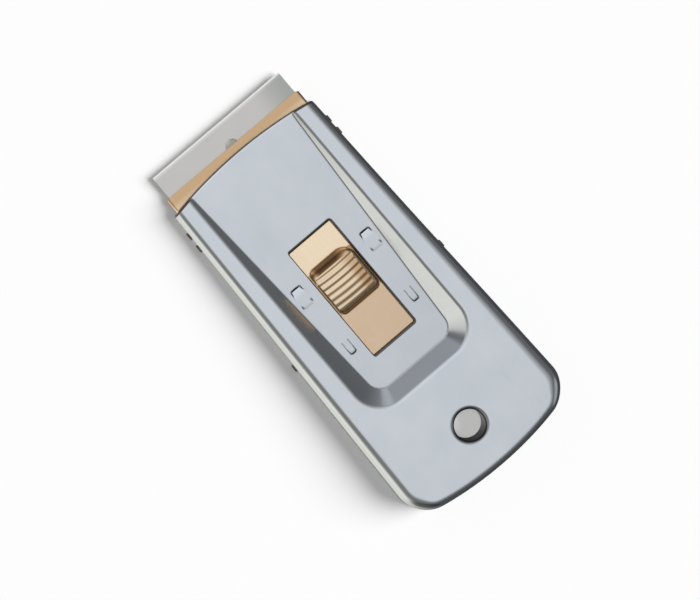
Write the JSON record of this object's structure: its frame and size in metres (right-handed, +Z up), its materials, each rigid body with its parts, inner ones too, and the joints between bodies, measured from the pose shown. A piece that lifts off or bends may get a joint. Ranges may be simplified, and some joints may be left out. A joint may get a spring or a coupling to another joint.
{
  "type": "razor blade scraper",
  "caption": "Retractable razor blade scraper: a stamped wedge-shaped steel case with a finger window, a brass-coloured slide with a ridged thumb hump, and a single-edge blade.",
  "frame": {"origin": "middle of the whole object's length and width, blade included, on the flat face that it lies on", "axes": "+Y towards the cutting edge, +Z up through the thumb side, +X to the right seen from above with the blade ahead"},
  "size_m": [0.047, 0.103, 0.0087],
  "materials": {
    "plated_steel": "satin plated sheet steel",
    "brass_plate": "satin brass-coloured plate",
    "spring_steel": "dull tempered steel",
    "rivet_steel": "bright steel",
    "blade_steel": "ground carbon steel with a bright edge",
    "spine_steel": "plain rolled strip"
  },
  "bodies": {
    "housing": {"cover": "plated_steel", "base_plate": "plated_steel"},
    "slide": {"blade_slide": "brass_plate", "detent_spring": "spring_steel", "spring_rivets": "rivet_steel", "blade": "blade_steel", "blade_spine": "spine_steel"}
  },
  "joints": [
    {"name": "blade_travel", "type": "slide", "parent": "housing", "child": "slide", "axis": [0, 1, 0], "range_m": [-0.0115, 0.0063]}
  ]
}
